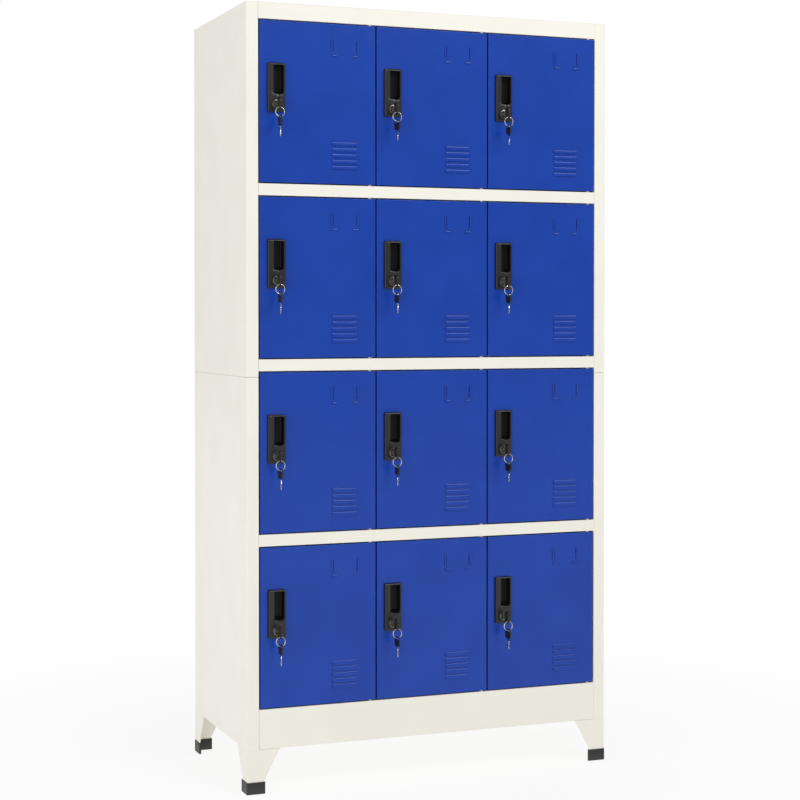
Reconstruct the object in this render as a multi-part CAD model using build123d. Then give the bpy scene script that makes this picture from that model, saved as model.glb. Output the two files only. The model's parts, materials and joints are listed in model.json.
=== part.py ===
from build123d import *
import math
import os

# Twelve-compartment sheet-steel locker, four rows of three doors.
# Millimetres. +Z is up, the doors face -Y, +X is to the right of someone who faces them.
# The origin is on the floor, at the middle of the whole object's footprint, keys and boots included.

# --- Driving dimensions ------------------------------------------------------------------------
WIDTH = 900
DEPTH = 450
HEIGHT = 1780
LEG_HEIGHT = 100
ROWS = 4
COLUMNS = 3

SHEET = 1.0
BEND = 1.5
STILE = 28
TOP_RAIL = 37
MID_RAIL = 27
BASE_RAIL = 90
RAIL_RETURN = 22
STRIKE_SET_BACK = 26
STRIKE_WIDTH = 18
REAR_FLANGE = 20
EASE = 0.1

SIDE_GAP = 3.0
END_GAP = 2.5
DOOR_DEPTH = 18
DOOR_LIP = 10
PIN_FROM_EDGE = 12
PIN_SET_BACK = 7
PIN_RADIUS = 2.5
PIN_HOLE_RADIUS = 2.75
PIN_COLLAR_RADIUS = 5

PULL_WIDTH = 41
PULL_HEIGHT = 110
PULL_PROUD = 7
PULL_TOP_DROP = 98
PULL_FROM_OPENING = 20.5
LOCK_DROP = 191
CUP_DEPTH = 16
CUP_WALL = 2

CASE_RADIUS = 9
CASE_FLANGE_RADIUS = 10.5
PLUG_RADIUS = 6
PLUG_PROUD = 9.5
CAM_REACH = 37
CAM_WIDTH = 14
CAM_GAUGE = 2
CAM_CLEAR = 2

KEY_HEAD_ACROSS = 26
KEY_HEAD_LONG = 22
KEY_HEAD_GAUGE = 3.6
KEY_NECK = 5
KEY_SLOT_WIDTH = 4.5
KEY_WEB = 2
KEY_BLADE_WIDTH = 7
KEY_BLADE_GAUGE = 2
KEY_BLADE_LONG = 25
RING_RADIUS = 10.5
WIRE_RADIUS = 0.8
RING_DROP = 7.6

CARD_WIDTH = 67
CARD_HEIGHT = 38
CARD_TAB = 12
CARD_FROM_RIGHT = 41
CARD_TOP_DROP = 36
LOUVRE_COUNT = 5
LOUVRE_WIDTH = 59
LOUVRE_PITCH = 13.5
LOUVRE_FROM_RIGHT = 47
LOUVRE_LOWEST = 46
LOUVRE_HEIGHT = 10
LOUVRE_PROUD = 2.4
LOUVRE_BOW = 6.0
LIP_WALL = 0.8

LEG_TOP_WIDTH = 77
LEG_FOOT_WIDTH = 40
LEG_GAUGE = 2
BOOT_HEIGHT = 27
BOOT_WALL = 1.5
BOOT_SOLE = 3
LEG_BOLT_RADIUS = 4
LEG_BOLT_INSET = 58

ANCHOR_SPACING_X = 700
ANCHOR_SPACING_Z = 600
ANCHOR_TOP_DROP = 80
ANCHOR_RADIUS = 4.5

# --- Derived places ----------------------------------------------------------------------------
BODY = HEIGHT - LEG_HEIGHT
OPENING = (BODY - TOP_RAIL - BASE_RAIL - (ROWS - 1) * MID_RAIL) / ROWS
OPENING_LEFT = -WIDTH / 2 + STILE
DOOR_WIDTH = (WIDTH - 2 * STILE - (COLUMNS + 1) * SIDE_GAP) / COLUMNS
DOOR_HEIGHT = OPENING - 2 * END_GAP
COLUMN_PITCH = DOOR_WIDTH + SIDE_GAP

RING_AHEAD = PLUG_PROUD + KEY_NECK + KEY_HEAD_LONG - KEY_WEB - KEY_SLOT_WIDTH / 2
REACH = RING_AHEAD + KEY_HEAD_ACROSS / 2
FRONT = REACH - (DEPTH + REACH + BOOT_WALL) / 2
BACK = FRONT + DEPTH
SEAM = LEG_HEIGHT + BODY / 2
BACK_SKIN = BACK - SHEET - EASE - SHEET

PULL_TOP = DOOR_HEIGHT - (PULL_TOP_DROP - END_GAP)
LOCK_UP = DOOR_HEIGHT - (LOCK_DROP - END_GAP)
LOCK_ACROSS = PULL_FROM_OPENING + PULL_WIDTH / 2 - SIDE_GAP
PULL_ABOVE = PULL_TOP - LOCK_UP
PULL_BELOW = PULL_HEIGHT - PULL_ABOVE
CAM_BACK = STRIKE_SET_BACK + SHEET + CAM_CLEAR
WEB_DROP = KEY_HEAD_ACROSS / 2 - KEY_WEB / 2


def floor_of(row):
    """Height of the bottom of a row's openings. Row 1 is the top row."""
    return LEG_HEIGHT + BASE_RAIL + (ROWS - row) * (OPENING + MID_RAIL)


def door_left(column):
    """Left edge of a column's doors. Column 1 is on the left."""
    return OPENING_LEFT + SIDE_GAP + (column - 1) * COLUMN_PITCH


def box(x, y, z):
    """A block between the pairs of limits x, y and z."""
    size = (x[1] - x[0], y[1] - y[0], z[1] - z[0])
    return Pos(x[0], y[0], z[0]) * Box(*size, align=(Align.MIN, Align.MIN, Align.MIN))


def rod(radius, y0, y1, x=0, z=0):
    """A cylinder along Y from y0 to y1."""
    middle = (y0 + y1) / 2
    return Pos(x, middle, z) * Rot(90, 0, 0) * Cylinder(radius, abs(y1 - y0))


def post(radius, z0, z1, x=0, y=0):
    """A cylinder along Z from z0 to z1."""
    return Pos(x, y, (z0 + z1) / 2) * Cylinder(radius, z1 - z0)


def fold(points, gauge=SHEET, bend=BEND):
    """The section of a folded sheet: its face follows the points, its gauge lies to their right."""
    path = FilletPolyline(*points, radius=bend)
    return make_face(offset(path, amount=gauge, side=Side.RIGHT))


def upright(section, z0, z1):
    """A section drawn in X and Y, extruded from z0 to z1."""
    return extrude(Pos(0, 0, z0) * section, amount=z1 - z0, dir=(0, 0, 1))


def lengthwise(section, x0, x1):
    """A section drawn in Y and Z, extruded from x0 to x1."""
    return extrude(Pos(x0, 0, 0) * (Plane.YZ * section), amount=x1 - x0, dir=(1, 0, 0))


def mirrored(shape):
    return mirror(shape, about=Plane.YZ)


# --- Body --------------------------------------------------------------------------------------
def side_section():
    """Left side in plan: strike flange, jamb, stile, side wall and rear flange."""
    left = -WIDTH / 2
    return fold([
        (OPENING_LEFT + STRIKE_WIDTH, FRONT + STRIKE_SET_BACK),
        (OPENING_LEFT, FRONT + STRIKE_SET_BACK),
        (OPENING_LEFT, FRONT),
        (left, FRONT),
        (left, BACK),
        (left + REAR_FLANGE, BACK),
    ])


def side_panels():
    """Lower and upper left panels. The lower one has a strip that laps behind the seam."""
    seam_gap = 0.6
    lap = 20
    inner = -WIDTH / 2 + SHEET
    lower = upright(side_section(), LEG_HEIGHT, SEAM - seam_gap / 2)
    upper = upright(side_section(), SEAM + seam_gap / 2, HEIGHT)
    clear = STRIKE_SET_BACK + 10
    strip = box((inner, inner + SHEET), (FRONT + clear, BACK - clear), (SEAM - lap, SEAM + lap))
    stile_cap = box(
        (inner - SHEET / 2, OPENING_LEFT - SHEET / 2),
        (FRONT + SHEET / 2, FRONT + STRIKE_SET_BACK + SHEET / 2),
        (HEIGHT - SHEET, HEIGHT),
    )
    return [lower + strip, upper + stile_cap]


def floor_sheet(z0, z1, rear_drop, tongues=True):
    """A level sheet at z1 with a front rail down to z0, notched round the stiles' flanges.
    Its tongues reach forward into the hollow stiles and close them off at this level."""
    rail_x = -OPENING_LEFT - EASE
    throat_x = rail_x - STRIKE_WIDTH
    wall_x = WIDTH / 2 - SHEET - EASE
    neck = FRONT + STRIKE_SET_BACK - BEND - EASE
    behind = FRONT + STRIKE_SET_BACK + SHEET + EASE
    rear = BACK_SKIN - EASE
    rail = fold([
        (FRONT + RAIL_RETURN, z0),
        (FRONT, z0),
        (FRONT, z1),
        (neck, z1),
    ])
    sheet = lengthwise(rail, -rail_x, rail_x)
    sheet += box((-throat_x, throat_x), (neck - SHEET, behind + SHEET), (z1 - SHEET, z1))
    sheet += box((-wall_x, wall_x), (behind, rear), (z1 - SHEET, z1))
    if tongues:
        clear = 0.6
        tongue = (OPENING_LEFT - SHEET - clear, -wall_x + clear)
        for x in (tongue, (-tongue[0], -tongue[1])):
            reach = (FRONT + SHEET + clear, behind + SHEET)
            sheet += box((min(x), max(x)), reach, (z1 - SHEET, z1))
    side_drop = 16
    for edge in (-wall_x, wall_x - SHEET):
        sheet += box((edge, edge + SHEET), (behind + 10, rear), (z1 - side_drop, z1))
    sheet += box((-wall_x, wall_x), (rear - SHEET, rear), (z1 - rear_drop, z1))
    return sheet


def top_panel():
    """The lid: a floor sheet turned into the cabinet's top, with its own front rail."""
    return floor_sheet(HEIGHT - TOP_RAIL, HEIGHT, 20, tongues=False)


def shelves():
    return [
        floor_sheet(floor_of(row) - MID_RAIL, floor_of(row), 16)
        for row in range(1, ROWS)
    ]


def base_panel():
    """Bottom compartment floor, plinth rail and rear channel. The legs bolt to its returns."""
    top = LEG_HEIGHT + BASE_RAIL
    panel = floor_sheet(LEG_HEIGHT, top, BASE_RAIL)
    throat_x = -OPENING_LEFT - EASE - STRIKE_WIDTH
    wall_x = WIDTH / 2 - SHEET - EASE
    rear = BACK_SKIN - EASE
    low = (LEG_HEIGHT, LEG_HEIGHT + SHEET)
    panel += box((-wall_x, wall_x), (rear - LEG_TOP_WIDTH, rear), low)
    panel += box((-throat_x, throat_x), (FRONT + RAIL_RETURN - SHEET, FRONT + LEG_TOP_WIDTH), low)
    for x, y in leg_bolt_places():
        panel -= post(LEG_BOLT_RADIUS + 0.4, LEG_HEIGHT - 1, LEG_HEIGHT + 2, x, y)
    return panel


def partitions():
    """Two uprights in each row, each with a strike flange in front and a rear flange."""
    pieces = []
    rear_flange = 14
    rear = BACK_SKIN - EASE - SHEET - EASE
    for row in range(1, ROWS + 1):
        bottom = floor_of(row) + EASE
        ceiling = HEIGHT if row == 1 else floor_of(row - 1)
        for column in range(1, COLUMNS):
            middle = door_left(column + 1) - SIDE_GAP / 2
            left = middle - SHEET / 2
            section = fold([
                (left + STRIKE_WIDTH, FRONT + STRIKE_SET_BACK),
                (left, FRONT + STRIKE_SET_BACK),
                (left, rear),
                (left + rear_flange, rear),
            ])
            pieces.append(upright(section, bottom, ceiling - SHEET - EASE))
    return pieces


def anchor_places():
    """Centres of the four wall-anchor holes, as (x, z)."""
    top = HEIGHT - ANCHOR_TOP_DROP
    return [
        (side * ANCHOR_SPACING_X / 2, z)
        for z in (top, top - ANCHOR_SPACING_Z)
        for side in (-1, 1)
    ]


def back_panels():
    """Lower and upper back sheets, each stiffened by two pressed upright ribs."""
    edge = WIDTH / 2 - SHEET - 2 * EASE
    rib_x = 150
    rib_width = 24
    rib_deep = 4
    pieces = []
    for z0, z1 in ((LEG_HEIGHT + EASE, SEAM - EASE), (SEAM + EASE, HEIGHT - SHEET - EASE)):
        panel = box((-edge, edge), (BACK_SKIN, BACK_SKIN + SHEET), (z0, z1))
        rim = 60
        for x in (-rib_x, rib_x):
            span = (x - rib_width / 2, x + rib_width / 2)
            tall = (z0 + rim, z1 - rim)
            rib = Pos(x, BACK_SKIN + SHEET, (tall[0] + tall[1]) / 2) * pressed_rib(
                rib_width, tall[1] - tall[0], 0.9
            )
            panel += rib
        pieces.append(panel)
    upper = pieces[1]
    for x, z in anchor_places():
        upper -= rod(ANCHOR_RADIUS, BACK_SKIN - 5, BACK + 5, x, z)
    return [pieces[0], upper]


def pressed_rib(width, height, proud):
    """A low rounded bead standing out of the back of a sheet, along Z."""
    radius = (width * width / 4 + proud * proud) / (2 * proud)
    drum = Pos(0, proud - radius, 0) * Cylinder(radius, height)
    return drum & box((-width / 2, width / 2), (-0.5, proud), (-height / 2, height / 2))


# --- Legs and boots ----------------------------------------------------------------------------
def leg_bolt_places():
    """Plan positions of the leg bolts, one at each corner."""
    x = WIDTH / 2 - LEG_BOLT_INSET
    near = FRONT + LEG_BOLT_INSET
    far = BACK - LEG_BOLT_INSET
    return [(side * x, y) for side in (-1, 1) for y in (near, far)]


def leg_face(top_width, foot_width):
    """One tapered face of a leg, drawn from its corner along +X, from the boot's sole up."""
    straight = BOOT_HEIGHT + 4
    return make_face(Polyline(
        (0, BOOT_SOLE),
        (foot_width, BOOT_SOLE),
        (foot_width, straight),
        (top_width, LEG_HEIGHT),
        (0, LEG_HEIGHT),
        close=True,
    ))


def corner_leg():
    """The leg under the front left corner: two tapered faces and a bolting plate."""
    left = -WIDTH / 2
    face = leg_face(LEG_TOP_WIDTH, LEG_FOOT_WIDTH)
    front = extrude(Pos(left, FRONT, 0) * (Plane.XZ * face), amount=LEG_GAUGE, dir=(0, 1, 0))
    side = extrude(Pos(left, FRONT, 0) * (Plane.YZ * face), amount=LEG_GAUGE, dir=(1, 0, 0))
    plate = box(
        (left, left + LEG_TOP_WIDTH),
        (FRONT, FRONT + LEG_TOP_WIDTH),
        (LEG_HEIGHT - LEG_GAUGE, LEG_HEIGHT),
    )
    x, y = leg_bolt_places()[0]
    return front + side + plate - post(LEG_BOLT_RADIUS + 0.4, 0, HEIGHT, x, y)


def corner_boot():
    """The black boot on that leg: an L-shaped cup with a thick sole."""
    left = -WIDTH / 2
    out = BOOT_WALL
    arm = LEG_FOOT_WIDTH + out
    wide = LEG_GAUGE + 2 * out
    block = box((left - out, left + arm), (FRONT - out, FRONT - out + wide), (0, BOOT_HEIGHT))
    block += box((left - out, left - out + wide), (FRONT - out, FRONT + arm), (0, BOOT_HEIGHT))
    verticals = block.edges().filter_by(Axis.Z)
    outer = verticals.sort_by(Axis.X)[0:2].sort_by(Axis.Y)[0]
    block = fillet(outer, 2.0)
    pocket = box((left, left + LEG_FOOT_WIDTH), (FRONT, FRONT + LEG_GAUGE), (BOOT_SOLE, HEIGHT))
    pocket += box((left, left + LEG_GAUGE), (FRONT, FRONT + LEG_FOOT_WIDTH), (BOOT_SOLE, HEIGHT))
    return block - pocket


def four_corners(shape):
    """A front left corner piece, mirrored to all four corners."""
    middle = Plane.XZ.offset(-(FRONT + DEPTH / 2))
    pair = [shape, mirror(shape, about=middle)]
    return pair + [mirrored(piece) for piece in pair]


# --- Doors -------------------------------------------------------------------------------------
# A door is drawn with its front face on Y = 0, its lower left front corner at the origin.
def bulge(proud, radius, rise):
    """An arc in y and z from the height of the origin down to a point where it stands upright."""
    turn = math.asin(rise / radius)
    start = (-proud + radius - radius * math.cos(turn), 0)
    middle = (-proud + radius - radius * math.cos(turn / 2), -rise + radius * math.sin(turn / 2))
    return start, ThreePointArc(start, middle, (-proud, -rise))


def pressing(length, height, proud, radius, rise):
    """A solid swelling along X that stands out from the sheet below the origin."""
    start, brow = bulge(proud, radius, rise)
    rest = Polyline((-proud, -rise), (-proud, -height), (SHEET, -height), (SHEET, 0), start)
    return lengthwise(make_face(brow + rest), -length / 2, length / 2)


def lanced_lip(length, height, proud, radius, window):
    """A lip along X that is open at the top, with a slot of some width cut above it."""
    rise = 0.6 * height
    back = -proud + LIP_WALL
    bend = back + radius - math.sqrt(radius ** 2 - rise ** 2)
    through = 2 * SHEET
    foot = -height + LIP_WALL
    hollow = make_face(Polyline(
        (back, foot),
        (back, -rise),
        (bend, 0),
        (bend, 0.5),
        (0, 0.5),
        (0, window),
        (through, window),
        (through, foot),
        close=True,
    ))
    half = length / 2 - LIP_WALL
    return pressing(length, height, proud, radius, rise), lengthwise(hollow, -half, half)


def hooded_louvre(length, height, proud, radius):
    """A louvre along X that is open at the bottom, with a hood that curves out of the sheet."""
    rise = math.sqrt(radius ** 2 - (radius - proud) ** 2)
    depth = proud - LIP_WALL
    inner = math.sqrt((radius - LIP_WALL) ** 2 - (radius - proud) ** 2)
    start, roof = bulge(depth, radius - LIP_WALL, inner)
    drop = rise - inner
    rest = Polyline(
        (-depth, -inner), (-depth, drop - height - 1), (-EASE, drop - height - 1),
        (-EASE, drop - height), (2 * SHEET, drop - height), (2 * SHEET, 0), start,
    )
    half = length / 2 - LIP_WALL
    hollow = Pos(0, 0, -drop) * lengthwise(make_face(roof + rest), -half, half)
    return pressing(length, height, proud, radius, rise), hollow


def press(sheet, place, lip):
    """The sheet with a lip pressed out of it at a place."""
    outer, hollow = lip
    return sheet + place * outer - place * hollow


def card_lips():
    """Places and lips of the card holder: two tabs under the card and a lip beside each end."""
    tab = lanced_lip(CARD_TAB, 4.5, 2.6, 5.0, 0)
    side = lanced_lip(CARD_HEIGHT - 10, 4.5, 1.9, 4.0, 1.2)
    half = CARD_WIDTH / 2
    low = -CARD_HEIGHT / 2
    tab_x = half - 2 - CARD_TAB / 2
    return [
        (Pos(-tab_x, 0, low + 2), tab),
        (Pos(tab_x, 0, low + 2), tab),
        (Pos(-half + 4, 0, 3) * Rot(0, 90, 0), side),
        (Pos(half - 4, 0, 3) * Rot(0, -90, 0), side),
    ]


def door():
    """A folded pan with lips, a welded stiffener, louvres, card holder and a cut-out for its pull."""
    w, h, d = DOOR_WIDTH, DOOR_HEIGHT, DOOR_DEPTH
    shell = box((0, w), (0, d), (0, h))
    outer_edges = shell.edges().filter_by(Axis.Y, reverse=True).group_by(Axis.Y)[0]
    shell = fillet(outer_edges, BEND)
    s = SHEET
    shell -= box((s, w - s), (s, d - s), (s, h - s))
    shell -= box((DOOR_LIP, w - DOOR_LIP), (s, d + 1), (DOOR_LIP, h - DOOR_LIP))

    stiff_x = w / 2 - 20
    stiff_w = 40
    stiff_d = 12
    rib = box((stiff_x, stiff_x + stiff_w), (s, s + stiff_d), (DOOR_LIP, h - DOOR_LIP))
    rib -= box((stiff_x + s, stiff_x + stiff_w - s), (0, stiff_d), (0, h))
    shell += rib

    card_x = w - CARD_FROM_RIGHT - CARD_WIDTH / 2
    card_z = h - (CARD_TOP_DROP - END_GAP) - CARD_HEIGHT / 2
    for place, lip in card_lips():
        shell = press(shell, Pos(card_x, 0, card_z) * place, lip)

    louvre = hooded_louvre(LOUVRE_WIDTH, LOUVRE_HEIGHT, LOUVRE_PROUD, LOUVRE_BOW)
    louvre_x = w - LOUVRE_FROM_RIGHT - LOUVRE_WIDTH / 2
    for n in range(LOUVRE_COUNT):
        place = Pos(louvre_x, 0, LOUVRE_LOWEST - END_GAP + n * LOUVRE_PITCH)
        shell = press(shell, place, louvre)

    cup = cup_limits()
    fit = 0.3
    shell -= box(
        (LOCK_ACROSS + cup[0][0] - fit, LOCK_ACROSS + cup[0][1] + fit),
        (-5, 3),
        (LOCK_UP + cup[1][0] - fit, LOCK_UP + cup[1][1] + fit),
    )
    pin_x = w - PIN_FROM_EDGE
    shell -= post(PIN_HOLE_RADIUS, -1, 3, pin_x, PIN_SET_BACK)
    shell -= post(PIN_HOLE_RADIUS, h - 3, h + 1, pin_x, PIN_SET_BACK)
    return shell


# --- Pull, lock and keys -----------------------------------------------------------------------
# These are drawn with the lock's axis along Y through the origin, the door's face on Y = 0.
def cup_limits():
    """Limits in x and z of the part of the pull that passes through the door."""
    rim = 2
    half = PULL_WIDTH / 2 - rim
    return (-half, half), (-PULL_BELOW + rim, PULL_ABOVE - rim)


def pull():
    """Recessed pull: a proud frame, a finger pocket on the right and a curved grip lip on the left."""
    half = PULL_WIDTH / 2
    proud = PULL_PROUD
    low, high = -PULL_BELOW, PULL_ABOVE
    plate = box((-half, half), (-proud, 0), (low, high))
    plate = fillet(plate.edges().group_by(Axis.Y)[0].filter_by(Axis.Z), 3.0)
    top_edge = plate.edges().group_by(Axis.Z)[-1].sort_by(Axis.Y)[0]
    plate = fillet(top_edge, 4.0)

    (x0, x1), (z0, z1) = cup_limits()
    body = plate + box((x0, x1), (0, CUP_DEPTH), (z0, z1))
    pocket_floor = 22
    pocket_top = high - 4
    mouth_left = -6.5
    mouth_right = half - 3.5
    depth = CUP_DEPTH - CUP_WALL
    body -= box((mouth_left, mouth_right), (-proud - 1, depth), (pocket_floor, pocket_top))
    body -= box((x0 + CUP_WALL, x1 - CUP_WALL), (-2, depth), (pocket_floor, pocket_top))
    hollow_top = pocket_floor - CUP_WALL
    hollow = box((x0 + CUP_WALL, x1 - CUP_WALL), (0, CUP_DEPTH + 1), (z0 + CUP_WALL, hollow_top))
    hollow -= rod(CASE_RADIUS + 2.5, -1, CUP_DEPTH + 2)
    body -= hollow
    return body - rod(CASE_RADIUS, -proud - 1, CUP_DEPTH + 1)


def lock_case():
    """The fixed barrel of the lock: a front flange, a barrel and its hexagonal nut behind."""
    nut_back = CUP_DEPTH + 5
    case = rod(CASE_FLANGE_RADIUS, -PULL_PROUD - 1.6, -PULL_PROUD)
    front_edge = case.edges().group_by(Axis.Y)[0]
    case = fillet(front_edge, 0.8)
    case += rod(CASE_RADIUS, -PULL_PROUD, nut_back + 2)
    nut = extrude(
        Pos(0, CUP_DEPTH, 0) * (Plane.XZ * RegularPolygon(12.5, 6)),
        amount=nut_back - CUP_DEPTH,
        dir=(0, 1, 0),
    )
    case += nut
    return case - rod(PLUG_RADIUS + 0.2, -20, 60)


def cam():
    """The tongue at the back of the plug. It hangs down when the lock is open."""
    tip = CAM_REACH - CAM_WIDTH / 2
    outline = Circle(CAM_WIDTH / 2) + Pos(0, -tip / 2, 0) * Rectangle(CAM_WIDTH, tip)
    outline += Pos(0, -tip, 0) * Circle(CAM_WIDTH / 2)
    blade = extrude(Pos(0, CAM_BACK, 0) * (Plane.XZ * outline), amount=CAM_GAUGE, dir=(0, 1, 0))
    return blade - rod(3.05, 0, 60)


def cam_screw():
    head = rod(5.5, CAM_BACK + CAM_GAUGE, CAM_BACK + CAM_GAUGE + 3.5)
    head = fillet(head.edges().group_by(Axis.Y)[-1], 1.2)
    return head + rod(3, CAM_BACK - 8, CAM_BACK + CAM_GAUGE)


def plug():
    """The turning core of the lock, with its keyway."""
    core = rod(PLUG_RADIUS, -PLUG_PROUD, CAM_BACK)
    core = chamfer(core.edges().group_by(Axis.Y)[0], 0.5)
    keyway = box(
        (-KEY_BLADE_GAUGE / 2 - 0.15, KEY_BLADE_GAUGE / 2 + 0.15),
        (-PLUG_PROUD - 1, CAM_BACK - 10),
        (-KEY_BLADE_WIDTH / 2 - 0.15, KEY_BLADE_WIDTH / 2 + 0.15),
    )
    return core - keyway - rod(3, CAM_BACK - 8, CAM_BACK + 1)


def key():
    """A flat key along Y: blade towards +Y from the origin, plastic head ahead of it towards -Y."""
    half_blade = KEY_BLADE_WIDTH / 2
    blade = box(
        (-KEY_BLADE_GAUGE / 2, KEY_BLADE_GAUGE / 2),
        (-KEY_NECK, KEY_BLADE_LONG - KEY_NECK),
        (-half_blade, half_blade),
    )
    tip = blade.edges().group_by(Axis.Y)[-1].filter_by(Axis.X)
    blade = chamfer(tip, 2.0)
    for n in range(5):
        depth = 0.7 + 0.9 * (n * 3 % 5) / 4
        y = 3 + n * 3.0
        notch = Pos(0, y, half_blade) * Rot(45, 0, 0) * Box(9, depth * 1.4, depth * 1.4)
        blade -= notch

    outline = RectangleRounded(KEY_HEAD_LONG, KEY_HEAD_ACROSS, 6.0)
    slot = RectangleRounded(KEY_SLOT_WIDTH, KEY_HEAD_ACROSS - 2 * KEY_WEB, KEY_SLOT_WIDTH * 0.45)
    slot_y = -KEY_HEAD_LONG / 2 + KEY_WEB + KEY_SLOT_WIDTH / 2
    section = outline - Pos(slot_y, 0, 0) * slot
    half_gauge = KEY_HEAD_GAUGE / 2
    head = extrude(Plane.YZ * section, amount=half_gauge, both=True)
    rims = [edge for edge in head.edges() if abs(edge.center().X) > half_gauge - 0.01]
    head = chamfer(rims, 0.5)
    head = Pos(0, -KEY_NECK - KEY_HEAD_LONG / 2, 0) * head
    return [blade, head]


def ring():
    """The split ring in the plane of X and Z, hanging from the web at the head slot's lower end."""
    middle = -WEB_DROP - RING_DROP
    return Pos(0, -RING_AHEAD, middle) * Rot(90, 0, 0) * Torus(RING_RADIUS, WIRE_RADIUS)


def spare_key(twist):
    """A second key hanging from the ring by the middle of its slot, turned a little about Z."""
    blade, head = key()
    slot_to_origin = KEY_NECK + KEY_HEAD_LONG - KEY_WEB - KEY_SLOT_WIDTH / 2
    ring_bottom = -WEB_DROP - RING_DROP - RING_RADIUS
    slot_centre = ring_bottom + WIRE_RADIUS - KEY_SLOT_WIDTH / 2 + 2 * EASE
    place = Pos(0, -RING_AHEAD, slot_centre - slot_to_origin) * Rot(0, 0, twist) * Rot(-90, 0, 0)
    return [place * blade, place * head]


# --- Small parts -------------------------------------------------------------------------------
def hinge_pins():
    """A collared pin above and below each door. Each stands in the rail beside it."""
    pins = []
    through = 9
    for row in range(1, ROWS + 1):
        bottom = floor_of(row)
        top = bottom + OPENING
        for column in range(1, COLUMNS + 1):
            x = door_left(column) + DOOR_WIDTH - PIN_FROM_EDGE
            y = FRONT + PIN_SET_BACK
            collar = END_GAP - EASE
            lower = post(PIN_RADIUS, bottom, bottom + through, x, y)
            lower += post(PIN_COLLAR_RADIUS, bottom, bottom + collar, x, y)
            upper = post(PIN_RADIUS, top - through, top, x, y)
            upper += post(PIN_COLLAR_RADIUS, top - collar + 0.3, top, x, y)
            pins += [lower, upper]
    return pins


def door_buffers():
    """Rubber buttons on the strike flanges, two behind the free edge of each door."""
    gap = 0.4
    pieces = []
    for row in range(1, ROWS + 1):
        for column in range(1, COLUMNS + 1):
            x = door_left(column) + 6
            for z in (floor_of(row) + 45, floor_of(row) + OPENING - 45):
                button = rod(4, FRONT + DOOR_DEPTH + gap, FRONT + STRIKE_SET_BACK, x, z)
                front_edge = button.edges().group_by(Axis.Y)[0]
                pieces.append(fillet(front_edge, 1.0))
    return pieces


def leg_bolt(x, y):
    """A bolt head under the leg's plate and a nut above the return."""
    under = LEG_HEIGHT - LEG_GAUGE
    nut_from = LEG_HEIGHT + SHEET
    hexagon = RegularPolygon(7.5, 6)
    bolt = extrude(Pos(x, y, under - 5) * hexagon, amount=5, dir=(0, 0, 1))
    bolt += post(LEG_BOLT_RADIUS, under, nut_from + 9, x, y)
    nut = extrude(Pos(x, y, nut_from) * hexagon, amount=6.5, dir=(0, 0, 1))
    return bolt + nut


def back_screw(x, z):
    """A pan-head screw through the side panel's rear flange into the back sheet."""
    head = rod(4.5, BACK, BACK + 1.3, x, z)
    return fillet(head.edges().group_by(Axis.Y)[-1], 0.8)


def fasteners():
    pieces = [leg_bolt(x, y) for x, y in leg_bolt_places()]
    per_panel = 4
    for z0, z1 in ((LEG_HEIGHT, SEAM), (SEAM, HEIGHT)):
        for n in range(per_panel):
            z = z0 + (n + 0.5) * (z1 - z0) / per_panel
            for side in (-1, 1):
                pieces.append(back_screw(side * (WIDTH / 2 - REAR_FLANGE / 2), z))
    return pieces


# --- Writing -----------------------------------------------------------------------------------
def save(name, *solids):
    flat = []
    for solid in solids:
        flat += solid.solids()
    shape = flat[0] if len(flat) == 1 else Compound(children=flat)
    export_step(shape, "parts/" + name + ".step")


def twist_of(row, column):
    """How far each spare key hangs round from square, in degrees."""
    return 2 + 4 * math.sin(1.7 * row + 2.9 * column)


def save_doors():
    pan = door()
    handle = [pull(), lock_case()]
    blade, head = key()
    seat = Pos(0, -PLUG_PROUD, 0)
    turning = [plug(), cam(), cam_screw(), seat * blade, seat * head]
    for row in range(1, ROWS + 1):
        for column in range(1, COLUMNS + 1):
            corner = Pos(door_left(column), FRONT, floor_of(row) + END_GAP)
            axis = corner * Pos(LOCK_ACROSS, 0, LOCK_UP)
            name = f"r{row}c{column}"
            save("door_" + name, corner * pan)
            save("pull_" + name, *[axis * piece for piece in handle])
            save("lock_" + name, *[axis * piece for piece in turning])
            spare = spare_key(twist_of(row, column))
            save("key_ring_" + name, axis * ring(), *[axis * piece for piece in spare])


def main():
    os.makedirs("parts", exist_ok=True)
    lower, upper = side_panels()
    save("side_panels_left", lower, upper)
    save("side_panels_right", mirrored(lower), mirrored(upper))
    save("top_panel", top_panel())
    save("base_panel", base_panel())
    save("shelves", *shelves())
    save("partitions", *partitions())
    save("back_panels", *back_panels())
    save("legs", *four_corners(corner_leg()))
    save("foot_boots", *four_corners(corner_boot()))
    save("hinge_pins", *hinge_pins())
    save("door_buffers", *door_buffers())
    save("fasteners", *fasteners())
    save_doors()


main()
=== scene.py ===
"""Twelve-door key locker: finishes, pulls, locks and keys, camera and light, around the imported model."""
import json
import math

import bmesh
import bpy
from mathutils import Matrix, Vector


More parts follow.
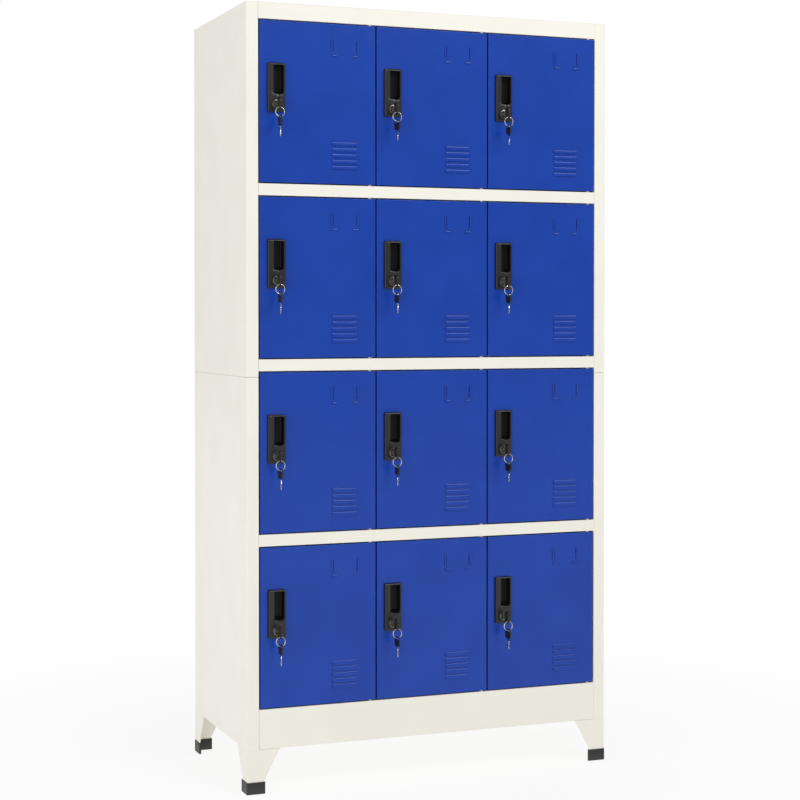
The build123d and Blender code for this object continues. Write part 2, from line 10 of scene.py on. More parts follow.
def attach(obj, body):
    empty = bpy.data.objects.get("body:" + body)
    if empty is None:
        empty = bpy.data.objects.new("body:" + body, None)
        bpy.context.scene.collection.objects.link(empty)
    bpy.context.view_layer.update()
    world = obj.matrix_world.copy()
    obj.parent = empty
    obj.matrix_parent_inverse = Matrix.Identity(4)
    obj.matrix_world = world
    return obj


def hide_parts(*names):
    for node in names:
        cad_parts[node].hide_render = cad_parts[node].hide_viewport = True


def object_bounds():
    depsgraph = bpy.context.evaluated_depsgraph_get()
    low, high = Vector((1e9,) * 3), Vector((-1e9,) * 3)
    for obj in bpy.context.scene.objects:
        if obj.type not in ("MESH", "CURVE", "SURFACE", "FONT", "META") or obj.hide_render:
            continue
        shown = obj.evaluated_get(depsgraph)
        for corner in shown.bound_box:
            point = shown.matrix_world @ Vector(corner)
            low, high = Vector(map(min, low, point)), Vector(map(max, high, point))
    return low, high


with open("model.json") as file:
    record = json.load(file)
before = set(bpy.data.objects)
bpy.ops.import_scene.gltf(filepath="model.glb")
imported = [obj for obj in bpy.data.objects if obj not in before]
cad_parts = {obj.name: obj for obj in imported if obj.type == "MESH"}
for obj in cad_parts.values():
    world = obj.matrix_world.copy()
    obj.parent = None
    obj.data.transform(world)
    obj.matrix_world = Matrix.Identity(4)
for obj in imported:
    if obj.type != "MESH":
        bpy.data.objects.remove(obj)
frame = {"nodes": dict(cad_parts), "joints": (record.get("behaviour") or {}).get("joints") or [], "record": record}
CAD_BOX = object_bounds()

MM = 0.001
ROWS = 4
COLUMNS = 3

# Sizes of the pieces made here, in millimetres, about a lock whose axis runs along Y.
PULL_WIDTH = 41
PULL_ABOVE = 93
PULL_BELOW = 17
PULL_PROUD = 7
PULL_SIDE_ROUND = 2.4
PULL_TOP_ROUND = 4
PULL_CORNER = 3
CUP_DEPTH = 16
CUP_MARGIN = 2
LIP_EDGE = -6.5
LIP_BACK = -2
LIP_SLOPE = 7
LIP_SLOPE_DROP = 1.2
POCKET_LEFT = -16.5
POCKET_RIGHT = 17
POCKET_LOW = 22
POCKET_RAMP = 8
POCKET_HIGH = 89
POCKET_BROW = 1.4
POCKET_DEPTH = 14
CASE_RADIUS = 9
CASE_FLANGE = 10.5
CASE_PROUD = 1.6
NUT_CORNER_RADIUS = 12.5
NUT_GAUGE = 5
PLUG_RADIUS = 6
PLUG_PROUD = 9.5
KEYWAY_DEPTH = 6
CAM_BACK = 29
CAM_GAUGE = 2
CAM_REACH = 37
CAM_WIDTH = 14
CAM_HOLE = 3.05
SCREW_RADIUS = 3
SCREW_LONG = 8
SCREW_HEAD_RADIUS = 5.5
SCREW_HEAD_HEIGHT = 3.5
SCREW_RIM_GAUGE = 2.5
RECESS_FLOOR = 1.6
RECESS_REACH = 2.6
RECESS_HALF_WIDTH = 0.55
HEAD_ACROSS = 26
HEAD_LONG = 22
HEAD_GAUGE = 3.6
HEAD_CORNER = 6
HEAD_RIM = 1.8
NECK = 5
SLOT_WIDTH = 4.5
WEB = 2
BLADE_WIDTH = 7
BLADE_GAUGE = 2
BLADE_LONG = 25
BLADE_HELD = 6
RING_RADIUS = 10.5
WIRE_RADIUS = 0.8
TURN_RADIUS = 0.7
RING_TURNS = 2
RING_STEPS = 56
RING_START = 0.6
CROSSING_START = 0.38
CROSSING_SHARE = 0.24
RING_AHEAD = PLUG_PROUD + NECK + HEAD_LONG - WEB - SLOT_WIDTH / 2
WEB_DROP = HEAD_ACROSS / 2 - WEB / 2
RING_DROP = 7.6
WEB_GAP = 0.2

# Where along Y the black plastic's specular fades down, as painted shade, from its open face into a finger pocket.
POCKET_SHADE_FROM = -6
POCKET_SHADE_TO = 1

# The studio, in metres and degrees.
FLOOR_RADIUS = 14.0
FLOOR_WHITENESS = 0.87
FLOOR_FADE_START = 0.5
FLOOR_FADE_END = 1.8
LIGHT_TINT = (0.965, 0.985, 1.0)
CAMERA_LENS = 81.07
CAMERA_SHIFT = -0.06
CAMERA_PLACE = (-1.6018, -4.0793, 1.0793)
CAMERA_DOWN = 1.173
CAMERA_TURN = 21.416


# --- Materials -----------------------------------------------------------------------------------
def srgb(red, green, blue):
    """A linear colour from 0 to 255 display values."""
    def linear(value):
        share = value / 255
        return share / 12.92 if share <= 0.04045 else ((share + 0.055) / 1.055) ** 2.4
    return linear(red), linear(green), linear(blue), 1.0


class Surface:
    """A material with a Principled shader and short calls for the nodes that drive it."""

    def __init__(self, name):
        self.material = bpy.data.materials.new(name)
        self.material.use_nodes = True
        self.nodes = self.material.node_tree.nodes
        self.links = self.material.node_tree.links
        self.shader = self.nodes["Principled BSDF"]
        self.place = self.nodes.new("ShaderNodeTexCoord").outputs["Object"]

    def set(self, name, value):
        self.shader.inputs[name].default_value = value

    def drive(self, name, source):
        self.links.new(source, self.shader.inputs[name])

    def noise(self, scale, detail=2.0, stretch=None):
        node = self.nodes.new("ShaderNodeTexNoise")
        node.inputs["Scale"].default_value = scale
        node.inputs["Detail"].default_value = detail
        source = self.place
        if stretch is not None:
            mapping = self.nodes.new("ShaderNodeMapping")
            mapping.inputs["Scale"].default_value = stretch
            self.links.new(self.place, mapping.inputs["Vector"])
            source = mapping.outputs["Vector"]
        self.links.new(source, node.inputs["Vector"])
        return node.outputs["Fac"]

    def ranged(self, value, low, high, start=0.0, stop=1.0):
        node = self.nodes.new("ShaderNodeMapRange")
        node.inputs["From Min"].default_value = start
        node.inputs["From Max"].default_value = stop
        node.inputs["To Min"].default_value = low
        node.inputs["To Max"].default_value = high
        self.links.new(value, node.inputs["Value"])
        return node.outputs["Result"]

    def times(self, first, second):
        node = self.nodes.new("ShaderNodeMath")
        node.operation = "MULTIPLY"
        self.links.new(first, node.inputs[0])
        self.links.new(second, node.inputs[1])
        return node.outputs["Value"]

    def mixed(self, share, first, second):
        """A colour between two others; each is a colour or another node's output."""
        node = self.nodes.new("ShaderNodeMix")
        node.data_type = "RGBA"
        self.links.new(share, node.inputs["Factor"])
        for name, colour in (("A", first), ("B", second)):
            socket = next(s for s in node.inputs if s.name == name and s.type == "RGBA")
            if isinstance(colour, bpy.types.NodeSocket):
                self.links.new(colour, socket)
            else:
                socket.default_value = colour
        return next(s for s in node.outputs if s.type == "RGBA")

    def along(self, axis):
        """How far the surface is along one of its object's own axes, in metres."""
        split = self.nodes.new("ShaderNodeSeparateXYZ")
        self.links.new(self.place, split.inputs["Vector"])
        return split.outputs[axis]

    def bump(self, height, strength, distance, rounded):
        """Fine relief, on edges that look rounded by a small radius in metres."""
        edge = self.nodes.new("ShaderNodeBevel")
        edge.samples = 4
        edge.inputs["Radius"].default_value = rounded
        node = self.nodes.new("ShaderNodeBump")
        node.inputs["Strength"].default_value = strength
        node.inputs["Distance"].default_value = distance
        self.links.new(height, node.inputs["Height"])
        self.links.new(edge.outputs["Normal"], node.inputs["Normal"])
        self.drive("Normal", node.outputs["Normal"])


def powder_coat(name, colour, shade, gloss, specular):
    """Baked powder paint: a fine orange peel, faint mottling and a softened sheet edge."""
    surface = Surface(name)
    mottle = surface.ranged(surface.noise(9.0, 3.0), 0.0, 1.0, 0.35, 0.65)
    grain = surface.ranged(surface.noise(1900.0, 1.0), 0.0, 0.35, 0.3, 0.7)
    tinted = surface.mixed(mottle, colour, shade)
    surface.drive("Base Color", surface.mixed(grain, tinted, shade))
    surface.drive("Roughness", surface.ranged(surface.noise(26.0, 4.0), gloss - 0.04, gloss + 0.05))
    surface.set("Specular IOR Level", specular)
    surface.bump(surface.noise(430.0, 2.0), 0.16, 0.0004, rounded=0.0007)
    return surface.material


def moulded_plastic(name, colour, shade, gloss, pocket_shade_specular):
    """Spark-textured plastic; the last argument is its specular down in a pocket, turned down there as painted
    shade.
    """
    surface = Surface(name)
    depth = surface.ranged(surface.along("Y"), 0.0, 1.0, POCKET_SHADE_FROM * MM, POCKET_SHADE_TO * MM)
    surface.drive("Base Color", surface.mixed(surface.noise(60.0, 3.0), colour, shade))
    # Painted shade: the specular fades down in a finger pocket, so the pocket looks dark.
    surface.drive("Specular IOR Level", surface.ranged(depth, 0.5, pocket_shade_specular))
    surface.drive("Roughness", surface.ranged(surface.noise(140.0, 3.0), gloss - 0.07, gloss + 0.09))
    surface.bump(surface.noise(2600.0, 2.0), 0.22, 0.00012, rounded=0.0003)
    return surface.material


def plated_metal(name, colour, shade, gloss, stretch):
    """Plated metal with fine drawn lines along one axis."""
    surface = Surface(name)
    surface.set("Metallic", 1.0)
    lines = surface.noise(900.0, 3.0, stretch)
    surface.drive("Base Color", surface.mixed(lines, colour, shade))
    surface.drive("Roughness", surface.ranged(surface.noise(320.0, 2.0), gloss - 0.05, gloss + 0.1))
    surface.bump(lines, 0.12, 0.00008, rounded=0.0002)
    return surface.material


def scuffed_boot():
    """Dark moulded boots, dusty where they meet the floor."""
    surface = Surface("boot_plastic")
    low = surface.ranged(surface.along("Z"), 0.45, 0.0, 0.0, 0.02)
    dust = surface.times(low, surface.noise(180.0, 4.0))
    surface.drive("Base Color", surface.mixed(dust, srgb(31, 31, 31), srgb(92, 90, 86)))
    surface.drive("Roughness", surface.ranged(surface.noise(90.0, 3.0), 0.42, 0.6))
    surface.bump(surface.noise(1500.0, 2.0), 0.3, 0.0002, rounded=0.0006)
    return surface.material


MATERIALS = {
    "body_paint": powder_coat("body_paint", srgb(240, 237, 226), srgb(237, 234, 222), 0.40, 0.5),
    "door_paint": powder_coat("door_paint", srgb(10, 62, 164), srgb(9, 58, 157), 0.24, 0.33),
    "pull_plastic": moulded_plastic("pull_plastic", srgb(25, 25, 24), srgb(18, 18, 17), 0.30, 0.14),
    "key_plastic": moulded_plastic("key_plastic", srgb(20, 20, 21), srgb(14, 14, 15), 0.34, 0.5),
    "lock_metal": plated_metal("lock_metal", srgb(124, 121, 112), srgb(100, 98, 90), 0.24, (1, 14, 1)),
    "key_metal": plated_metal("key_metal", srgb(222, 220, 214), srgb(196, 194, 189), 0.20, (1, 1, 14)),
    "zinc": plated_metal("zinc", srgb(198, 200, 202), srgb(172, 174, 176), 0.34, (8, 1, 1)),
    "buffer_rubber": moulded_plastic("buffer_rubber", srgb(30, 30, 30), srgb(22, 22, 22), 0.62, 0.5),
    "boot_plastic": scuffed_boot(),
}


def dress_packed_nodes():
    """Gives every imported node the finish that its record's slot names."""
    for part in frame["record"]["subparts"]:
        mesh = frame["nodes"][part["node"]].data
        mesh.materials.clear()
        mesh.materials.append(MATERIALS[part["material_slot"]])


# --- Mesh helpers --------------------------------------------------------------------------------
def circle(radius, steps=48):
    turn = 2 * math.pi / steps
    return [(radius * math.cos(n * turn), radius * math.sin(n * turn)) for n in range(steps)]


def rounded(width, height, corner, centre=(0.0, 0.0), steps=8):
    """A rounded rectangle, anticlockwise."""
    points = []
    for quarter, (side, end) in enumerate(((1, 1), (-1, 1), (-1, -1), (1, -1))):
        cx = centre[0] + side * (width / 2 - corner)
        cy = centre[1] + end * (height / 2 - corner)
        for n in range(steps + 1):
            angle = math.pi / 2 * (quarter + n / steps)
            points.append((cx + corner * math.cos(angle), cy + corner * math.sin(angle)))
    return points


def stadium(width, length, steps=12):
    """A slot shape that runs from the origin down to -length, with round ends."""
    half = width / 2
    arc = [math.pi * n / steps for n in range(steps + 1)]
    top = [(half * math.cos(a), half * math.sin(a)) for a in arc]
    bottom = [(-half * math.cos(a), -length - half * math.sin(a)) for a in arc]
    return top + bottom


PLANES = {
    "XZ": Matrix(((1, 0, 0), (0, 0, -1), (0, 1, 0))).to_4x4(),
    "YZ": Matrix(((0, 0, 1), (1, 0, 0), (0, 1, 0))).to_4x4(),
}


def meshed(curve):
    """The mesh that a curve's thickness makes."""
    holder = bpy.data.objects.new("stock", curve)
    mesh = bpy.data.meshes.new_from_object(holder)
    bpy.data.objects.remove(holder)
    bpy.data.curves.remove(curve)
    return mesh


def plate(loops, gauge, edge, plane, middle=0.0):
    """A mesh of flat stock: loops of (u, v) in millimetres, the first outside and the rest holes.
    Its gauge is centred at middle along Y or X, and edge is the radius of its edges."""
    curve = bpy.data.curves.new("stock", "CURVE")
    curve.dimensions = "2D"
    curve.fill_mode = "BOTH"
    curve.extrude = (gauge / 2 - edge) * MM
    curve.bevel_depth = edge * MM
    curve.bevel_resolution = 2
    curve.offset = -edge * MM
    for loop in loops:
        spline = curve.splines.new("POLY")
        spline.points.add(len(loop) - 1)
        for point, (u, v) in zip(spline.points, loop):
            point.co = (u * MM, v * MM, 0.0, 1.0)
        spline.use_cyclic_u = True
    mesh = meshed(curve)
    shift = {"XZ": (0, middle * MM, 0), "YZ": (middle * MM, 0, 0)}[plane]
    mesh.transform(Matrix.Translation(shift) @ PLANES[plane])
    return mesh


def lathe(profile, steps=40):
    """A mesh turned about the Y axis from (radius, y) points in millimetres."""
    shape = bmesh.new()
    rings = []
    for radius, along in profile:
        if radius == 0:
            rings.append([shape.verts.new((0, along * MM, 0))])
            continue
        rings.append([shape.verts.new((u * MM, along * MM, v * MM)) for u, v in circle(radius, steps)])
    for first, second in zip(rings, rings[1:]):
        for n in range(steps):
            corners = [first[n % len(first)], first[(n + 1) % len(first)],
                       second[(n + 1) % len(second)], second[n % len(second)]]
            unique = list(dict.fromkeys(corners))
            if len(unique) > 2:
                shape.faces.new(unique)
    return finished(shape, "turned")


def finished(shape, name):
    """A mesh from a bmesh, welded and with its faces turned outwards."""
    bmesh.ops.remove_doubles(shape, verts=shape.verts, dist=1e-6)
    bmesh.ops.recalc_face_normals(shape, faces=shape.faces)
    mesh = bpy.data.meshes.new(name)
    shape.to_mesh(mesh)
    shape.free()
    return mesh


def joined(*meshes):
    """One mesh holding several."""
    shape = bmesh.new()
    for mesh in meshes:
        shape.from_mesh(mesh)
    result = bpy.data.meshes.new("joined")
    shape.to_mesh(result)
    shape.free()
    return result


def smooth(mesh, angle=35):
    """Smooth shading that keeps edges sharper than an angle."""
    shape = bmesh.new()
    shape.from_mesh(mesh)
    bmesh.ops.remove_doubles(shape, verts=shape.verts, dist=1e-6)
    for face in shape.faces:
        face.smooth = True
    for edge in shape.edges:
        if len(edge.link_faces) == 2 and edge.calc_face_angle(0.0) > math.radians(angle):
            edge.smooth = False
    shape.to_mesh(mesh)
    shape.free()
    return mesh


def bored(mesh, radius, front, back):
    """The mesh with a round hole along Y, cut by a Boolean modifier."""
    scene = bpy.context.scene
    body = bpy.data.objects.new("body", mesh)
    rod = bpy.data.objects.new("rod", lathe([(0, front), (radius, front), (radius, back), (0, back)], 48))
    for piece in (body, rod):
        scene.collection.objects.link(piece)
    cut = body.modifiers.new("bore", "BOOLEAN")
    cut.operation = "DIFFERENCE"
    cut.solver = "EXACT"
    cut.object = rod
    result = bpy.data.meshes.new_from_object(body.evaluated_get(bpy.context.evaluated_depsgraph_get()))
    for piece in (body, rod):
        bpy.data.objects.remove(piece)
    return result


# --- Pull ----------------------------------------------------------------------------------------
def ease(value):
    """A smooth step from 0 to 1."""
    value = min(1.0, max(0.0, value))
    return value * value * (3 - 2 * value)


def fall(gap, radius):
    """How far a rounded edge has dropped at a distance in from the side."""
    share = 1 - min(1.0, max(0.0, gap / radius))
    return radius * (1 - math.sqrt(1 - share * share))


def spread(low, high, count):
    """Values from low up to but not including high."""
    return [low + (high - low) * n / count for n in range(count)]


def softened(corners, steps=5):
    """An open line through (x, y, radius) corners, each turned with a curve of about that radius."""
    points = [corners[0][:2]]
    for before, (x, y, radius), after in zip(corners, corners[1:], corners[2:]):
        corner = Vector((x, y))
        back = (Vector(before[:2]) - corner).normalized() * radius
        ahead = (Vector(after[:2]) - corner).normalized() * radius
        for n in range(steps + 1):
            t = n / steps
            point = corner + back * (1 - t) ** 2 + ahead * t ** 2
            points.append((point.x, point.y))
    return points + [corners[-1][:2]]


def pull_sections():
    """Two level cuts with the same count of points: through the finger pocket, and clear of it."""
    half = PULL_WIDTH / 2
    face = -PULL_PROUD
    left = [(-half, 0, 0), (-half, face, PULL_SIDE_ROUND), (LIP_EDGE - LIP_SLOPE, face, 1)]
    right = [(half, face, PULL_SIDE_ROUND), (half, 0, 0)]
    pocket = left + [
        (LIP_EDGE, face + LIP_SLOPE_DROP, 0.9), (LIP_EDGE, LIP_BACK, 0.9), (POCKET_LEFT, LIP_BACK, 0.6),
        (POCKET_LEFT, POCKET_DEPTH, 2), (POCKET_RIGHT, POCKET_DEPTH, 4), (POCKET_RIGHT, face, 0.8),
    ] + right
    plain = left + [(x, face, 0.5) for x in (-9, -5, 0, 5, 10, 15)] + right
    return softened(pocket), softened(plain)


def pull_rows():
    """Heights of the level cuts, close together where the face bends."""
    return (spread(-PULL_BELOW, PULL_SIDE_ROUND - PULL_BELOW, 6)
            + spread(PULL_SIDE_ROUND - PULL_BELOW, POCKET_LOW, 6)
            + spread(POCKET_LOW, POCKET_LOW + POCKET_RAMP, 10)
            + spread(POCKET_LOW + POCKET_RAMP, POCKET_HIGH - POCKET_BROW, 8)
            + spread(POCKET_HIGH - POCKET_BROW, POCKET_HIGH, 5)
            + spread(PULL_ABOVE - PULL_TOP_ROUND, PULL_ABOVE, 10) + [PULL_ABOVE])


def pull_point(pocket, plain, z):
    """A point of the face at a height, in metres, between its two level cuts."""
    deep = min(ease((z - POCKET_LOW) / POCKET_RAMP), ease((POCKET_HIGH - z) / POCKET_BROW))
    x = plain[0] + (pocket[0] - plain[0]) * deep
    y = plain[1] + (pocket[1] - plain[1]) * deep
    narrow = fall(min(z + PULL_BELOW, PULL_ABOVE - z), PULL_CORNER)
    x *= 1 - narrow / (PULL_WIDTH / 2)
    if y < 0:
        drop = max(fall(z + PULL_BELOW, PULL_SIDE_ROUND), fall(PULL_ABOVE - z, PULL_TOP_ROUND))
        y *= 1 - drop / PULL_PROUD
    return x * MM, y * MM, z * MM


def only(geometry, kind):
    """The items of one kind in what a bmesh operator returned."""
    return [item for item in geometry["geom"] if isinstance(item, kind)]


def pull_mesh():
    """The pull: its face and finger pocket, its rim down to the door and the closed cup behind."""
    pocket, plain = pull_sections()
    shape = bmesh.new()
    grid = [[shape.verts.new(pull_point(p, q, z)) for p, q in zip(pocket, plain)] for z in pull_rows()]
    for low, high in zip(grid, grid[1:]):
        for n in range(len(low) - 1):
            shape.faces.new((low[n], low[n + 1], high[n + 1], high[n]))
    edges = [edge for edge in shape.edges if len(edge.link_faces) == 1]
    rim = bmesh.ops.extrude_edge_only(shape, edges=edges)
    for vertex in only(rim, bmesh.types.BMVert):
        vertex.co.y = 0.0
    across = (PULL_WIDTH / 2 - CUP_MARGIN) * MM
    lowest = (CUP_MARGIN - PULL_BELOW) * MM
    highest = (PULL_ABOVE - CUP_MARGIN) * MM
    neck = bmesh.ops.extrude_edge_only(shape, edges=only(rim, bmesh.types.BMEdge))
    for vertex in only(neck, bmesh.types.BMVert):
        vertex.co.x = min(max(vertex.co.x, -across), across)
        vertex.co.z = min(max(vertex.co.z, lowest), highest)
    back = bmesh.ops.extrude_edge_only(shape, edges=only(neck, bmesh.types.BMEdge))
    for vertex in only(back, bmesh.types.BMVert):
        vertex.co.y = CUP_DEPTH * MM
    bmesh.ops.remove_doubles(shape, verts=shape.verts, dist=1e-6)
    open_edges = [edge for edge in shape.edges if len(edge.link_faces) == 1]
    bmesh.ops.contextual_create(shape, geom=open_edges)
    whole = finished(shape, "pull")
    return smooth(bored(whole, CASE_RADIUS + 0.05, -PULL_PROUD - 3, CUP_DEPTH + 3))


def case_mesh():
    """Lock case: a domed front flange round the plug, and its barrel and nut behind the pull."""
    bore = PLUG_RADIUS + 0.2
    front = -PULL_PROUD - CASE_PROUD
    back = CUP_DEPTH + NUT_GAUGE + 2
    barrel = lathe([
        (bore, back), (bore, front + 0.5), (bore + 0.5, front), (CASE_RADIUS - 0.6, front),
        (CASE_FLANGE - 0.4, front + 0.4), (CASE_FLANGE, front + 1), (CASE_FLANGE, -PULL_PROUD),
        (CASE_RADIUS, -PULL_PROUD), (CASE_RADIUS, back - 0.4), (CASE_RADIUS - 0.4, back),
        (bore, back),
    ])
    hexagon = circle(NUT_CORNER_RADIUS, 6)
    nut = plate([hexagon, circle(CASE_RADIUS - 0.2)], NUT_GAUGE, 0.5, "XZ", CUP_DEPTH + NUT_GAUGE / 2)
    return smooth(joined(barrel, nut))


# --- Lock and keys -------------------------------------------------------------------------------
def plug_mesh():
    """The turning core, with its keyway."""
    keyway = rounded(BLADE_GAUGE + 0.5, BLADE_WIDTH + 0.5, 0.4, steps=3)
    face = plate([circle(PLUG_RADIUS), keyway], KEYWAY_DEPTH, 0.5, "XZ", KEYWAY_DEPTH / 2 - PLUG_PROUD)
    start = KEYWAY_DEPTH - PLUG_PROUD - 0.1
    core = lathe([(0, start), (PLUG_RADIUS, start), (PLUG_RADIUS, CAM_BACK), (0, CAM_BACK)])
    return smooth(joined(face, core))


def cam_mesh():
    """The cam's tongue, hanging down."""
    tongue = stadium(CAM_WIDTH, CAM_REACH - CAM_WIDTH / 2)
    return smooth(plate([tongue, circle(CAM_HOLE, 24)], CAM_GAUGE, 0.35, "XZ", CAM_BACK + CAM_GAUGE / 2))


def cam_screw_mesh():
    """A pan-head screw with a cross recess."""
    seat = CAM_BACK + CAM_GAUGE
    long, short = RECESS_REACH, RECESS_HALF_WIDTH
    cross = [(short, long), (-short, long), (-short, short), (-long, short), (-long, -short),
             (-short, -short), (-short, -long), (short, -long), (short, -short), (long, -short),
             (long, short), (short, short)]
    rim_middle = seat + SCREW_HEAD_HEIGHT - SCREW_RIM_GAUGE / 2
    rim = plate([circle(SCREW_HEAD_RADIUS), cross], SCREW_RIM_GAUGE, 0.8, "XZ", rim_middle)
    floor = seat + RECESS_FLOOR
    tip = seat - SCREW_LONG
    base = lathe([(0, floor), (SCREW_HEAD_RADIUS, floor), (SCREW_HEAD_RADIUS, seat),
                  (SCREW_RADIUS, seat), (SCREW_RADIUS, tip), (0, tip)])
    return smooth(joined(rim, base))


def bow_mesh():
    """The key's plastic head: a slab with a raised rim and a slot for the ring."""
    middle = -NECK - HEAD_LONG / 2
    slot_y = -NECK - HEAD_LONG + WEB + SLOT_WIDTH / 2
    outline = rounded(HEAD_LONG, HEAD_ACROSS, HEAD_CORNER, (middle, 0))
    slot = rounded(SLOT_WIDTH, HEAD_ACROSS - 2 * WEB, SLOT_WIDTH * 0.45, (slot_y, 0))
    inner_long = HEAD_LONG - WEB - SLOT_WIDTH - 2 * HEAD_RIM
    inner = rounded(inner_long, HEAD_ACROSS - 2 * HEAD_RIM, HEAD_CORNER - HEAD_RIM,
                    (-NECK - HEAD_RIM - inner_long / 2, 0))
    frame_of_head = plate([outline, slot, inner], HEAD_GAUGE, 0.5, "YZ")
    panel = rounded(inner_long + HEAD_RIM, HEAD_ACROSS - HEAD_RIM, HEAD_CORNER - HEAD_RIM,
                    (-NECK - HEAD_RIM - inner_long / 2, 0))
    return smooth(joined(frame_of_head, plate([panel], HEAD_GAUGE - 1, 0.2, "YZ")))


def bitted_edge():
    """The blade's upper edge, from its neck to its tip, with five cuts."""
    half = BLADE_WIDTH / 2
    tip = BLADE_LONG - NECK
    points = [(-NECK - BLADE_HELD, half)]
    for n in range(5):
        depth = 0.7 + 0.9 * (n * 3 % 5) / 4
        middle = 3 * (n + 1)
        points += [(middle - depth, half), (middle - 0.25, half - depth + 0.25),
                   (middle + 0.25, half - depth + 0.25), (middle + depth, half)]
    return points + [(tip - 2, half), (tip, half - 2)]


def blade_mesh():
    """The key's blade: a thin core with thicker stock below, so that a step runs along each side."""
    half = BLADE_WIDTH / 2
    tip = BLADE_LONG - NECK
    start = -NECK - BLADE_HELD
    outline = bitted_edge() + [(tip, 2 - half), (tip - 2, -half), (start, -half)]
    core = plate([outline], BLADE_GAUGE * 0.62, 0.12, "YZ")
    lower = plate([[(start, -half), (tip - 2, -half), (tip - 1.2, -0.9), (start, -0.9)]],
                  BLADE_GAUGE, 0.2, "YZ")
    shoulder = plate([[(start, -half), (0.4, -half), (0.4, half), (start, half)]],
                     BLADE_GAUGE, 0.2, "YZ")
    return smooth(joined(core, lower, shoulder))


def split_ring_mesh():
    """A split ring of two close turns in the plane of X and Z, through the slot's lower end."""
    count = RING_TURNS * RING_STEPS
    curve = bpy.data.curves.new("ring", "CURVE")
    curve.dimensions = "3D"
    curve.bevel_depth = TURN_RADIUS * MM
    curve.bevel_resolution = 3
    curve.use_fill_caps = True
    spline = curve.splines.new("POLY")
    spline.points.add(count)
    middle = -WEB_DROP - RING_DROP
    for n, point in enumerate(spline.points):
        share = n / count
        angle = 2 * math.pi * RING_TURNS * share + RING_START
        aside = TURN_RADIUS * (2 * ease((share - CROSSING_START) / CROSSING_SHARE) - 1)
        point.co = (RING_RADIUS * math.cos(angle) * MM, (aside - RING_AHEAD) * MM,
                    (middle + RING_RADIUS * math.sin(angle)) * MM, 1)
    return smooth(meshed(curve))


def spare_place(twist):
    """Where the spare key hangs: its slot's outer web rests in the bottom of the ring."""
    slot_to_origin = NECK + HEAD_LONG - WEB - SLOT_WIDTH / 2
    ring_bottom = -WEB_DROP - RING_DROP - RING_RADIUS
    slot_centre = ring_bottom + WIRE_RADIUS - SLOT_WIDTH / 2 + WEB_GAP
    hung = Matrix.Translation((0, -RING_AHEAD * MM, (slot_centre - slot_to_origin) * MM))
    return hung @ Matrix.Rotation(twist, 4, "Z") @ Matrix.Rotation(math.radians(-90), 4, "X")


def twist_of(row, column):
    """How far each spare key hangs round from square."""
    return math.radians(2 + 4 * math.sin(1.7 * row + 2.9 * column))


def lock_places():
    """Each lock's own place: where its turning joint meets the door's face."""
    return {joint["name"]: Matrix.Translation(joint["pos_m"]) for joint in frame["joints"]}


def add(name, mesh, finish, body, node, place):
    """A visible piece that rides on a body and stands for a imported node."""
    piece = bpy.data.objects.new(name, mesh)
    bpy.context.scene.collection.objects.link(piece)
    piece.matrix_world = place
    if not mesh.materials:
        mesh.materials.append(MATERIALS[finish])
    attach(piece, body)
    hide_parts(node)


def add_locks():
    """Every door's pull, lock and keys, from shared meshes."""
    pull, case = pull_mesh(), case_mesh()
    plug, cam, screw = plug_mesh(), cam_mesh(), cam_screw_mesh()
    bow, blade, ring = bow_mesh(), blade_mesh(), split_ring_mesh()
    seat = Matrix.Translation((0, -PLUG_PROUD * MM, 0))
    places = lock_places()
    for row in range(1, ROWS + 1):
        for column in range(1, COLUMNS + 1):
            at = f"r{row}c{column}"
            door, lock, hung = "door_" + at, "lock_" + at, "key_ring_" + at
            place = places[lock + "_turn"]
            spare = place @ spare_place(twist_of(row, column))
            add("pull_shell_" + at, pull, "pull_plastic", door, "pull_" + at, place)
            add("lock_case_" + at, case, "lock_metal", door, "pull_" + at, place)
            add("lock_plug_" + at, plug, "lock_metal", lock, lock, place)
            add("lock_cam_" + at, cam, "lock_metal", lock, lock, place)
            add("cam_screw_" + at, screw, "lock_metal", lock, lock, place)
            add("key_bow_" + at, bow, "key_plastic", lock, lock, place @ seat)
            add("key_blade_" + at, blade, "key_metal", lock, lock, place @ seat)
            add("split_ring_" + at, ring, "key_metal", hung, hung, place)
            add("spare_bow_" + at, bow, "key_plastic", hung, hung, spare)
            add("spare_blade_" + at, blade, "key_metal", hung, hung, spare)


# --- Floor, light and camera ---------------------------------------------------------------------
def studio_floor():
    """A pale floor that brightens outwards into plain white, so that it has no visible end."""
    surface = Surface("studio_floor")
    speckle = surface.noise(14.0, 3.0)
    surface.drive("Base Color", surface.mixed(speckle, srgb(247, 247, 246), srgb(244, 244, 243)))
    surface.set("Roughness", 0.8)
    surface.set("Specular IOR Level", 0.2)
    distance = surface.nodes.new("ShaderNodeVectorMath")
    distance.operation = "LENGTH"
    surface.links.new(surface.place, distance.inputs[0])
    far = surface.ranged(distance.outputs["Value"], FLOOR_WHITENESS, 1.0,
                         FLOOR_FADE_START, FLOOR_FADE_END)
    glow = surface.nodes.new("ShaderNodeEmission")
    glow.inputs["Color"].default_value = (1, 1, 1, 1)
    blend = surface.nodes.new("ShaderNodeMixShader")
    surface.links.new(far, blend.inputs["Fac"])
    surface.links.new(surface.shader.outputs["BSDF"], blend.inputs[1])
    surface.links.new(glow.outputs["Emission"], blend.inputs[2])
    surface.links.new(blend.outputs["Shader"], surface.nodes["Material Output"].inputs["Surface"])
    return surface.material


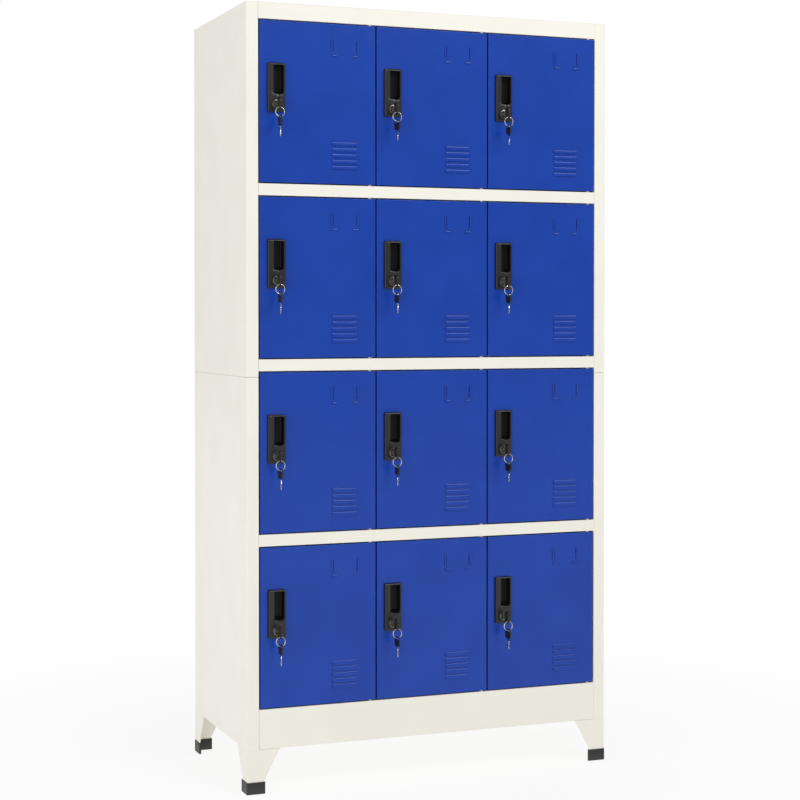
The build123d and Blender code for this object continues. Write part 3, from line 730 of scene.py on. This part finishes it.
def add_floor():
    shape = bmesh.new()
    bmesh.ops.create_circle(shape, cap_ends=True, radius=FLOOR_RADIUS, segments=96)
    mesh = bpy.data.meshes.new("floor")
    shape.to_mesh(mesh)
    shape.free()
    mesh.materials.append(studio_floor())
    floor = bpy.data.objects.new("floor", mesh)
    bpy.context.scene.collection.objects.link(floor)
    floor.location.z = CAD_BOX[0].z


def add_world(seen, cast):
    """A white surround, as bright as seen to the camera and as cast to the surfaces it lights."""
    world = bpy.data.worlds.new("studio")
    world.use_nodes = True
    nodes = world.node_tree.nodes
    links = world.node_tree.links
    path = nodes.new("ShaderNodeLightPath")
    strength = nodes.new("ShaderNodeMapRange")
    strength.inputs["To Min"].default_value = cast
    strength.inputs["To Max"].default_value = seen
    links.new(path.outputs["Is Camera Ray"], strength.inputs["Value"])
    links.new(strength.outputs["Result"], nodes["Background"].inputs["Strength"])
    nodes["Background"].inputs["Color"].default_value = (1, 1, 1, 1)
    bpy.context.scene.world = world


def add_light(name, place, aim, size, power):
    """A soft box, so wide and so high, that faces a point."""
    light = bpy.data.lights.new(name, "AREA")
    light.shape = "RECTANGLE"
    light.size = size[0]
    light.size_y = size[1]
    light.energy = power
    light.color = LIGHT_TINT
    lamp = bpy.data.objects.new(name, light)
    lamp.location = place
    lamp.rotation_euler = (Vector(aim) - Vector(place)).to_track_quat("-Z", "Y").to_euler()
    bpy.context.scene.collection.objects.link(lamp)


def add_camera():
    """The photograph's view: near eye level with the locker's middle, from its left."""
    lens = bpy.data.cameras.new("camera")
    lens.lens = CAMERA_LENS
    lens.shift_y = CAMERA_SHIFT
    camera = bpy.data.objects.new("camera", lens)
    camera.location = CAMERA_PLACE
    camera.rotation_euler = (math.radians(90 - CAMERA_DOWN), 0, math.radians(-CAMERA_TURN))
    bpy.context.scene.collection.objects.link(camera)
    bpy.context.scene.camera = camera


dress_packed_nodes()
add_locks()
add_floor()
add_world(seen=1.0, cast=0.45)
add_light("top_light", (1.5, -3.2, 3.4), (0, -0.2, 0.9), (2.2, 0.35), 54)
add_light("side_light", (-4.2, -0.6, 2.0), (0, 0, 0.9), (2.4, 2.4), 39)
add_light("front_light", (-2.6, -3.0, 1.5), (0, 0, 0.8), (2.4, 2.4), 24)
add_camera()
bpy.context.scene.view_settings.view_transform = "Standard"
